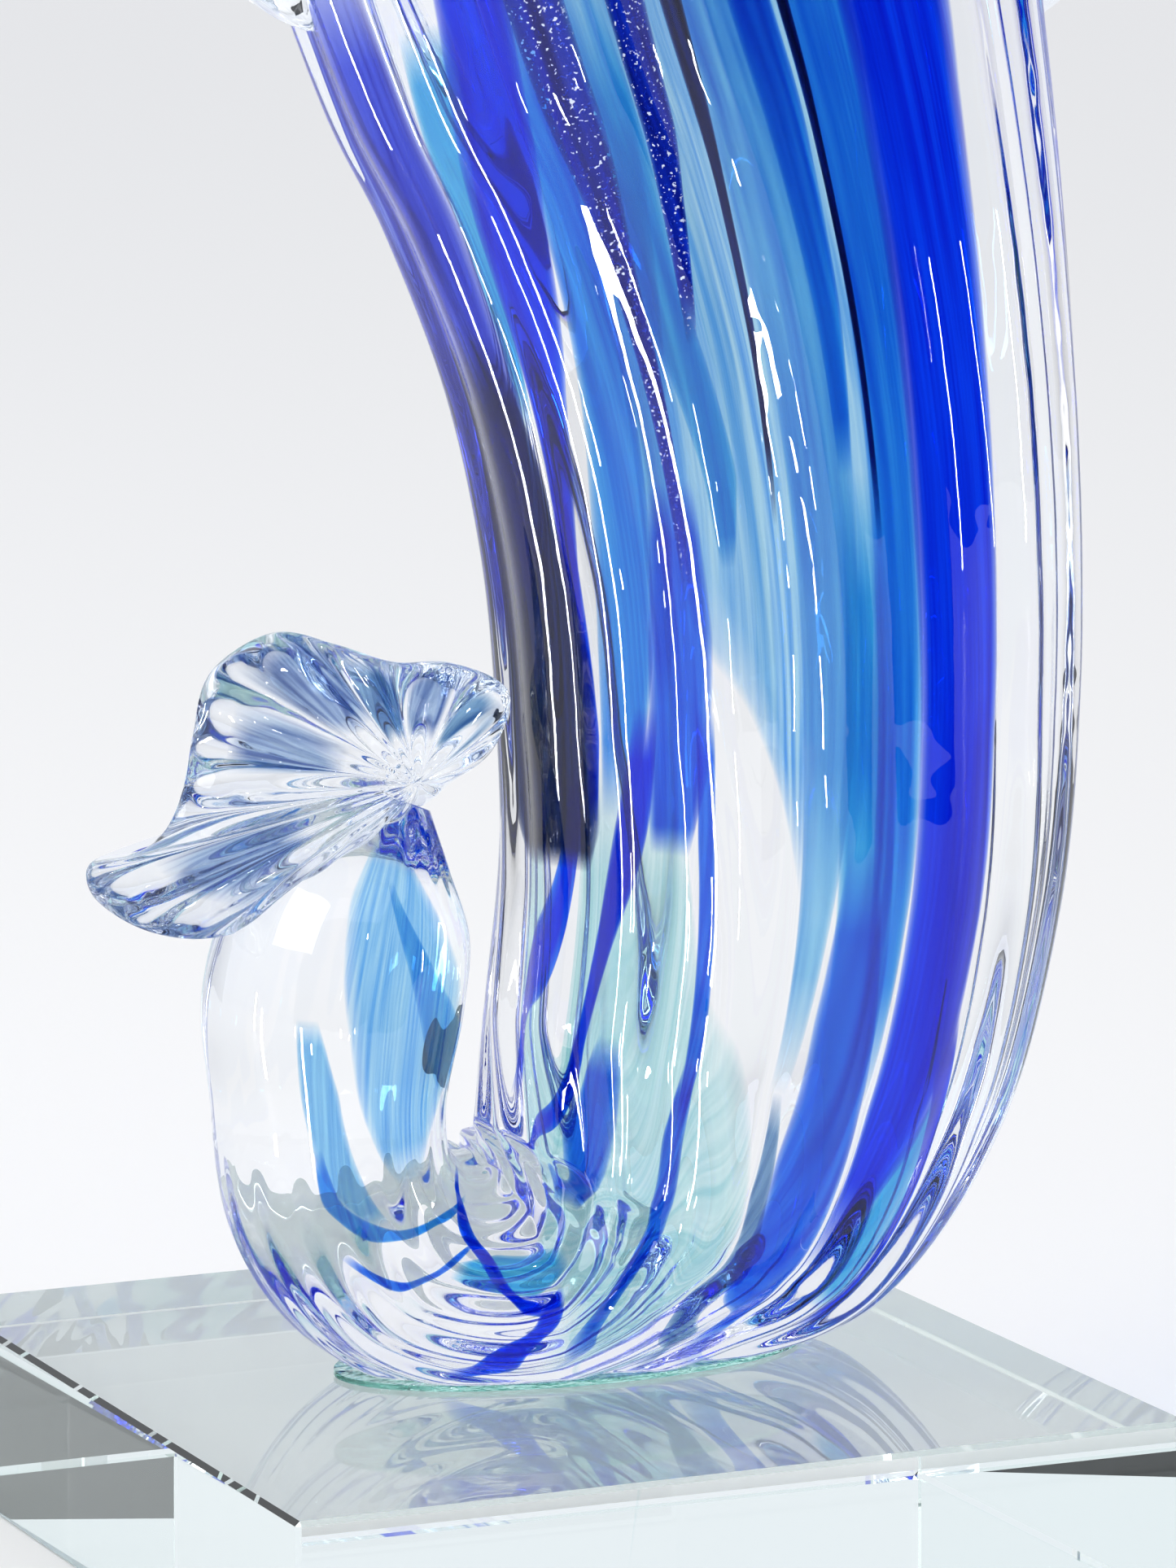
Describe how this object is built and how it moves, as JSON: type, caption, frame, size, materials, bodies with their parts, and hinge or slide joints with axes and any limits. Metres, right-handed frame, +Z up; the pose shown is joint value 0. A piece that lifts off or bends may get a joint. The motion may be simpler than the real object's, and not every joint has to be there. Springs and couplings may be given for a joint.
{
  "type": "crystal glass figurine",
  "caption": "Art-glass fish standing on its curled tail, with blue streaks cased in clear ribbed glass, bonded to a clear crystal block.",
  "frame": {"origin": "centre of the crystal block's polished underside, the face the figurine stands on", "axes": "+Z up; the fish lies in the XZ plane with its back towards +X and its belly and curled tail towards -X; Y is across the fish"},
  "size_m": [0.1216, 0.104, 0.2713],
  "materials": {
    "block_crystal": "polished optical crystal",
    "clear_adhesive": "clear cured adhesive with a faint green edge",
    "clear_glass": "fire polished, softly ribbed",
    "aqua_glass": "translucent aqua colour cased in clear glass",
    "azure_glass": "translucent azure colour, drawn out into streaks",
    "cobalt_glass": "deep cobalt colour, drawn out into streaks",
    "white_glass": "opaque white glass drop, glossy",
    "black_glass": "opaque black glass drop, glossy"
  },
  "bodies": {
    "root": {"crystal_base": "block_crystal", "adhesive_bond": "clear_adhesive", "body_casing": "clear_glass", "colour_core": "aqua_glass", "azure_streak_1": "azure_glass", "cobalt_streak_1": "cobalt_glass", "azure_streak_2": "azure_glass", "cobalt_streak_2": "cobalt_glass", "azure_streak_3": "azure_glass", "cobalt_streak_3": "cobalt_glass", "azure_streak_4": "azure_glass", "cobalt_streak_4": "cobalt_glass", "azure_streak_5": "azure_glass", "cobalt_streak_5": "cobalt_glass", "lip_ring": "cobalt_glass", "tail_fin": "clear_glass", "dorsal_fin": "clear_glass", "ventral_fin": "clear_glass", "pectoral_fin_right": "clear_glass", "pectoral_fin_left": "clear_glass", "eye_right": "white_glass", "pupil_right": "black_glass", "eye_left": "white_glass", "pupil_left": "black_glass"}
  },
  "joints": []
}
